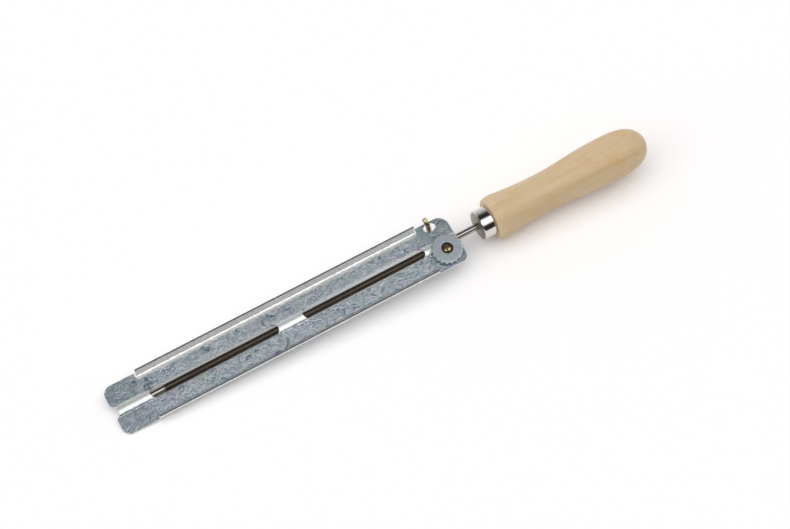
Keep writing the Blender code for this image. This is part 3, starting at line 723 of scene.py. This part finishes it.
def punched_plate():
    """The plate with its raised pad, the room for the file under it, the bolt's hole and the leg's hole."""
    piece = plate()
    low = PLATE_TOP - SHEET / 2
    base = PAD_RADIUS + PAD_SLOPE * (PAD_TOP - low)
    cut(piece, disc(base, low, PAD_TOP, BOLT.x, BOLT.y, PAD_RADIUS), "UNION")
    roof = PAD_TOP - SHEET
    below = PLATE_UNDERSIDE - 2.0
    inner = PAD_RADIUS - SHEET * (sqrt(1 + PAD_SLOPE ** 2) - PAD_SLOPE)
    cut(piece, disc(inner + PAD_SLOPE * (roof - below), below, roof, BOLT.x, BOLT.y, inner))
    bpy.ops.object.select_all(action="DESELECT")
    bpy.ops.mesh.primitive_cylinder_add(
        vertices=48,
        radius=FILE_RADIUS + GAP,
        depth=CUT_DEPTH,
        location=(BOLT.x, 0.0, 0.0),
        rotation=(0.0, pi / 2, 0.0),
    )
    bpy.ops.object.transform_apply()
    cut(piece, bpy.context.object)
    cut(piece, disc(THREAD_RADIUS + GAP, -CUT_DEPTH, CUT_DEPTH, BOLT.x, BOLT.y))
    # A punch 1 mm across, stretched to the size of the oblong hole
    hole = disc(0.5, -CUT_DEPTH, CUT_DEPTH, 0.0, 0.0)
    hole.scale = (*LEG_HOLE_SIZE, 1.0)
    hole.location = (*LEG_HOLE, 0.0)
    bpy.ops.object.transform_apply()
    cut(piece, hole)
    return smooth(piece, 12.0)


def on_rim(place, spokes):
    """A test for the points of the nut's rim that are at one place of its teeth."""
    def wanted(co):
        across = co.y - BOLT.y
        along = co.x - BOLT.x
        spoke = round(atan2(across, along) / (2 * pi) * spokes)
        return hypot(along, across) > WHEEL_RADIUS - 1.0 and spoke % WHEEL_TOOTH_STEPS == place
    return wanted


def wheel():
    """The serrated nut: a turned disc whose rim is drawn in between its teeth, with a deep counterbore."""
    bore = THREAD_RADIUS + GAP
    floor = WHEEL_TOP - COUNTERBORE_DEPTH
    profile = rounded([
        (bore, WHEEL_BOTTOM, 0.0),
        (COLLAR_RADIUS, WHEEL_BOTTOM, 0.15),
        (COLLAR_RADIUS, COLLAR_TOP, 0.0),
        (WHEEL_RADIUS, COLLAR_TOP, 0.35),
        (WHEEL_RADIUS, WHEEL_TOP, 0.45),
        (WHEEL_RADIUS - 1.2, WHEEL_TOP, 0.0),
        (COUNTERBORE_RADIUS + 0.5, WHEEL_TOP, 0.0),
        (COUNTERBORE_RADIUS, WHEEL_TOP, 0.25),
        (COUNTERBORE_RADIUS, floor, 0.0),
        (bore, floor, 0.0),
        (bore, WHEEL_BOTTOM, 0.0),
    ])
    points = [(BOLT.x + r, BOLT.y, z) for r, z in profile]
    spokes = WHEEL_TEETH * WHEEL_TOOTH_STEPS
    piece = turned("serrated_nut", points, spokes, BOLT, (0.0, 0.0, 1.0))
    for place in range(WHEEL_TOOTH_STEPS):
        pick(piece, on_rim(place, spokes))
        dip = WHEEL_TOOTH_DEPTH * (1 - cos(2 * pi * place / WHEEL_TOOTH_STEPS)) / 2
        share = 1 - dip / WHEEL_RADIUS
        bpy.ops.transform.resize(value=(share, share, 1.0), center_override=BOLT)
    bpy.ops.object.mode_set(mode="OBJECT")
    return smooth(piece)


def leg_line():
    """The wire's centre line: down from the thread, across under the file's neck, and up the leaning leg."""
    bar = -(FILE_RADIUS + NECK_GAP + WIRE_RADIUS)
    middle = PLATE_TOP - SHEET / 2
    hole = (LEG_HOLE[1] - BOLT.y) / cos(LEG_SKEW)
    foot = hole - (middle - bar) * tan(LEG_LEAN)
    knee = hole + (KNEE - middle) * tan(LEG_LEAN)
    tip = knee + TIP_REACH * sin(TIP_LEAN)
    out = Vector((-sin(LEG_SKEW), cos(LEG_SKEW), 0.0))
    corners = (
        (0.0, WIRE_START),
        (0.0, bar),
        (foot, bar),
        (knee, KNEE),
        (tip, KNEE + TIP_REACH * cos(TIP_LEAN)),
    )
    return bent([BOLT + out * place + Vector((0.0, 0.0, height)) for place, height in corners], WIRE_BEND)


def bail():
    """The clamp's bent wire: thread, crossbar under the file's neck, and a free leg that leans outwards."""
    def on_bolt(drop):
        return BOLT + Vector((0.0, 0.0, THREAD_TOP - drop))
    line = leg_line()
    stations = [(on_bolt(drop), radius) for drop, radius in DOME]
    rings = int(THREAD_LENGTH / THREAD_PITCH * RINGS_PER_TURN)
    for ring in range(1, rings + 1):
        stations.append((on_bolt(DOME[-1][0] + THREAD_LENGTH * ring / rings), THREAD_RADIUS))
    stations += [(point, WIRE_RADIUS) for point in line[:-1]]
    end = (line[-1] - line[-2]).normalized()
    stations += [(line[-1] - end * back, WIRE_RADIUS - inset) for back, inset in WIRE_END]
    curve = bpy.data.curves.new("bent_wire", "CURVE")
    curve.dimensions = "3D"
    curve.bevel_depth = 1.0
    curve.bevel_resolution = 4
    curve.use_fill_caps = True
    curve.twist_mode = "MINIMUM"
    spline = curve.splines.new("POLY")
    spline.points.add(len(stations) - 1)
    for control, (point, radius) in zip(spline.points, stations):
        control.co = (*point, 1.0)
        control.radius = radius
    piece = bpy.data.objects.new("bent_wire", curve)
    bpy.context.scene.collection.objects.link(piece)
    take(piece)
    bpy.ops.object.convert(target="MESH")
    piece = bpy.context.object
    for vertex in piece.data.vertices:
        place = vertex.co - BOLT
        if THREAD_END < place.z < THREAD_START and hypot(place.x, place.y) < THREAD_RADIUS + 0.01:
            turn = place.z / THREAD_PITCH + atan2(place.y, place.x) / (2 * pi)
            share = 1 - THREAD_DEPTH * (1 - cos(2 * pi * turn)) / 2 / THREAD_RADIUS
            vertex.co.x = BOLT.x + place.x * share
            vertex.co.y = BOLT.y + place.y * share
    bpy.ops.object.mode_set(mode="EDIT")
    close_up(piece)
    # A four-sided chisel 1 mm across, stretched to the size of the screw's slot
    chisel = disc(0.5, THREAD_TOP - SCREW_SLOT_DEPTH, THREAD_TOP + 2.0, 0.0, 0.0, sides=4)
    chisel.scale = SCREW_SLOT_SIZE
    chisel.rotation_euler.z = SCREW_SLOT_TURN
    chisel.location = BOLT
    bpy.ops.object.transform_apply()
    cut(piece, chisel)
    return smooth(piece, 45.0)


def round_file():
    """Tip, blade and tang in one turned piece; the blade's fine rings are then cut to a spiral of teeth."""
    radius = FILE_RADIUS
    toothed = BLADE_END - TEETH_START
    rings = int(toothed / FILE_PITCH * RINGS_PER_TOOTH)
    profile = [
        (FILE_TIP, 0.0),
        (FILE_TIP, radius - TIP_CHAMFER),
        (FILE_TIP + TIP_CHAMFER, radius),
        *[(TEETH_START + toothed * ring / rings, radius) for ring in range(rings + 1)],
        (NECK_END, TANG_RADIUS),
        (TANG_END - TANG_TAPER, TANG_RADIUS),
        (TANG_END, TANG_TIP_RADIUS),
        (TANG_END, 0.0),
    ]
    piece = turned("file_blade_and_tang", [(x, 0.0, r) for x, r in profile], FILE_SIDES)
    for vertex in piece.data.vertices:
        x = vertex.co.x
        fade = min(1.0, (x - TEETH_START) / TEETH_FADE, (BLADE_END - x) / TEETH_FADE)
        if fade > 0:
            turn = x / FILE_PITCH + FILE_SPIRALS * atan2(vertex.co.y, vertex.co.z) / (2 * pi)
            share = 1 - fade * FILE_TOOTH_DEPTH * (turn % 1.0) / radius
            vertex.co.y *= share
            vertex.co.z *= share
    return smooth(piece, 50.0)


def ferrule():
    """A drawn cap: flat front with a shallow step round the tang's hole, rounded shoulder, straight side."""
    inner = FERRULE_RADIUS - FERRULE_WALL
    hole = TANG_RADIUS + GAP
    back = FERRULE_FRONT + FERRULE_WALL
    profile = rounded([
        (back, hole, 0.0),
        (FERRULE_FRONT, hole, 0.25),
        (FERRULE_FRONT, BOSS_RADIUS, 0.4),
        (FERRULE_FRONT + STEP_DEPTH, STEP_RADIUS, 0.4),
        (FERRULE_FRONT + STEP_DEPTH, FERRULE_RADIUS, FERRULE_CORNER),
        (FERRULE_BACK, FERRULE_RADIUS, 0.25),
        (FERRULE_BACK, inner, 0.2),
        (back, inner, FERRULE_CORNER - FERRULE_WALL),
        (back, hole, 0.0),
    ], 6)
    return smooth(turned("drawn_ferrule", [(x, 0.0, r) for x, r in profile], TURNED_SIDES))


def grip():
    """The handle's nose and bore, then its turned outside: flare, waist, belly and round end."""
    nose = FERRULE_RADIUS - FERRULE_WALL - GAP
    nose_front = FERRULE_FRONT + STEP_DEPTH + FERRULE_WALL + GAP
    bore = TANG_RADIUS + GAP
    points = [
        (TANG_END + GAP, 0.0),
        (TANG_END + GAP, TANG_TIP_RADIUS + GAP),
        (TANG_END - TANG_TAPER, bore),
        (nose_front, bore),
        (nose_front, nose - NOSE_CHAMFER),
        (nose_front + NOSE_CHAMFER, nose),
        (HANDLE_FACE, nose),
    ]
    for step in range(HANDLE_STEPS):
        share = (step / HANDLE_STEPS) ** 2
        radius = FACE_RADIUS + (FLARE_RADIUS - FACE_RADIUS) * sqrt(1 - (1 - share) ** 2)
        points.append((HANDLE_FACE + share * FLARE_AT, radius))
    for step in range(HANDLE_STEPS):
        share = step / HANDLE_STEPS
        radius = WAIST_RADIUS + (FLARE_RADIUS - WAIST_RADIUS) * (1 - share) ** FALL_POWER
        points.append((HANDLE_FACE + FLARE_AT + share * (WAIST_AT - FLARE_AT), radius))
    for step in range(HANDLE_STEPS):
        share = step / HANDLE_STEPS
        radius = WAIST_RADIUS + (BELLY_RADIUS - WAIST_RADIUS) * share * share * (3 - 2 * share)
        points.append((HANDLE_FACE + WAIST_AT + share * (BELLY_AT - WAIST_AT), radius))
    for step in range(2 * HANDLE_STEPS + 1):
        share = sin(pi / 2 * step / (2 * HANDLE_STEPS))
        radius = BELLY_RADIUS * sqrt(max(0.0, 1 - share ** END_POWER))
        points.append((HANDLE_FACE + BELLY_AT + share * (HANDLE_LENGTH - BELLY_AT), radius))
    return smooth(turned("beech_handle", [(x, 0.0, r) for x, r in points], TURNED_SIDES), 40.0)


# Camera, floor and light

def set_up_camera():
    """The photograph's view: level with the picture's width, looking down on the tool."""
    right = Vector((cos(HEADING), -sin(HEADING), 0.0))
    ground = Vector((sin(HEADING), cos(HEADING), 0.0))
    forward = ground * cos(ELEVATION) - Vector((0.0, 0.0, sin(ELEVATION)))
    data = bpy.data.cameras.new("camera")
    data.sensor_width = SENSOR
    data.lens = FOCAL_PIXELS / IMAGE_WIDTH * SENSOR
    data.clip_end = VIEW_END
    camera = bpy.data.objects.new("camera", data)
    bpy.context.scene.collection.objects.link(camera)
    view = Matrix((right, right.cross(forward), -forward)).transposed().to_4x4()
    view.translation = TARGET - forward * DISTANCE
    camera.matrix_world = view
    bpy.context.scene.camera = camera


def lay_floor():
    """A pale paper floor, plain white to the camera and in the metal where nothing shades it."""
    bpy.ops.object.select_all(action="DESELECT")
    bpy.ops.mesh.primitive_plane_add(size=FLOOR_SIZE, location=(0.0, 0.0, 0.0))
    floor = bpy.context.object
    floor.name = "floor"
    material = bpy.data.materials.new("pale_floor")
    material.use_nodes = True
    tree = material.node_tree
    tree.nodes.remove(tree.nodes["Principled BSDF"])
    paper = add(tree, "ShaderNodeBsdfDiffuse", {"Color": linear("#F8F6F6")})
    seen = add(tree, "ShaderNodeLightPath").outputs
    plain = add(tree, "ShaderNodeMath", {0: seen["Is Camera Ray"], 1: 0.07}, operation="MULTIPLY")
    mirrored = {0: seen["Is Glossy Ray"], 1: 0.06, 2: plain}
    strength = add(tree, "ShaderNodeMath", mirrored, operation="MULTIPLY_ADD")
    glow = add(tree, "ShaderNodeEmission", {"Color": linear("#FFFFFF"), "Strength": strength})
    shown = add(tree, "ShaderNodeAddShader", {0: paper, 1: glow})
    feed(tree.nodes["Material Output"], {"Surface": shown})
    floor.data.materials.append(material)


def hang_light_tent():
    """The world as a light tent: long softboxes to what metal mirrors, broad soft light to all else, a little
    stronger from the left, and plain white to the camera."""
    world = bpy.data.worlds.new("light_tent")
    bpy.context.scene.world = world
    world.use_nodes = True
    tree = world.node_tree
    ray = add(tree, "ShaderNodeTexCoord").outputs["Generated"]
    way = add(tree, "ShaderNodeSeparateXYZ", {"Vector": ray}).outputs
    height = add(tree, "ShaderNodeMath", {0: way["Z"], 1: way["Y"]}, operation="ARCTAN2")
    over = add(tree, "ShaderNodeMath", {0: height, 1: pi}, operation="DIVIDE")

    def lit(levels, strength):
        stops = [(degree / 180, level) for degree, level in levels]
        shades = add(tree, "ShaderNodeValToRGB", {"Fac": over}, stops=stops)
        bright = (strength, strength, strength, 1.0)
        return add(tree, "ShaderNodeMix", {0: 1.0, 6: shades, 7: bright}, **MULTIPLY)
    boxes = lit(SOFTBOXES, SOFTBOX_STRENGTH)
    soft = lit(SOFT_LIGHT, SOFT_STRENGTH)
    side = add(tree, "ShaderNodeMapRange", {0: way["X"], 1: -1.0, 2: 1.0, 3: LEFT_SHARE, 4: RIGHT_SHARE})
    soft = add(tree, "ShaderNodeMix", {0: 1.0, 6: soft, 7: side}, **MULTIPLY)
    seen = add(tree, "ShaderNodeLightPath").outputs
    light = add(tree, "ShaderNodeMix", {0: seen["Is Glossy Ray"], 6: soft, 7: boxes}, **BLEND)
    white = {0: seen["Is Camera Ray"], 6: light, 7: linear("#FFFFFF")}
    feed(tree.nodes["Background"], {"Color": add(tree, "ShaderNodeMix", white, **BLEND), "Strength": 1.0})


# Zinc plate is dull and blue-grey, and yellow zinc plate has a low golden gloss
zinc_plate = plated("zinc_plated_steel", "#B4BDC4", "#CDD4D9", 0.36, 0.8, 0.85)
yellow_zinc_plate = plated("yellow_zinc_plate", "#6F6042", "#D6C69E", 0.2, 0.7)

finish(punched_plate(), "guide", galvanised_sheet(), "guide_plate")
finish(wheel(), "nut", nut_with_painted_bore_shade(), "wheel_nut")
finish(bail(), "bail", yellow_zinc_plate, "clamp_bail")
finish(round_file(), "file", file_steel(), "round_file")
finish(ferrule(), "file", cap_with_painted_face_shade(), "ferrule")
finish(grip(), "file", beech(), "handle")

# The small socket under the far end keeps its own shape
socket = frame["nodes"]["tip_socket"]
socket.data.materials.clear()
socket.data.materials.append(zinc_plate)

set_up_camera()
lay_floor()
hang_light_tent()
bpy.context.scene.view_settings.view_transform = "Standard"
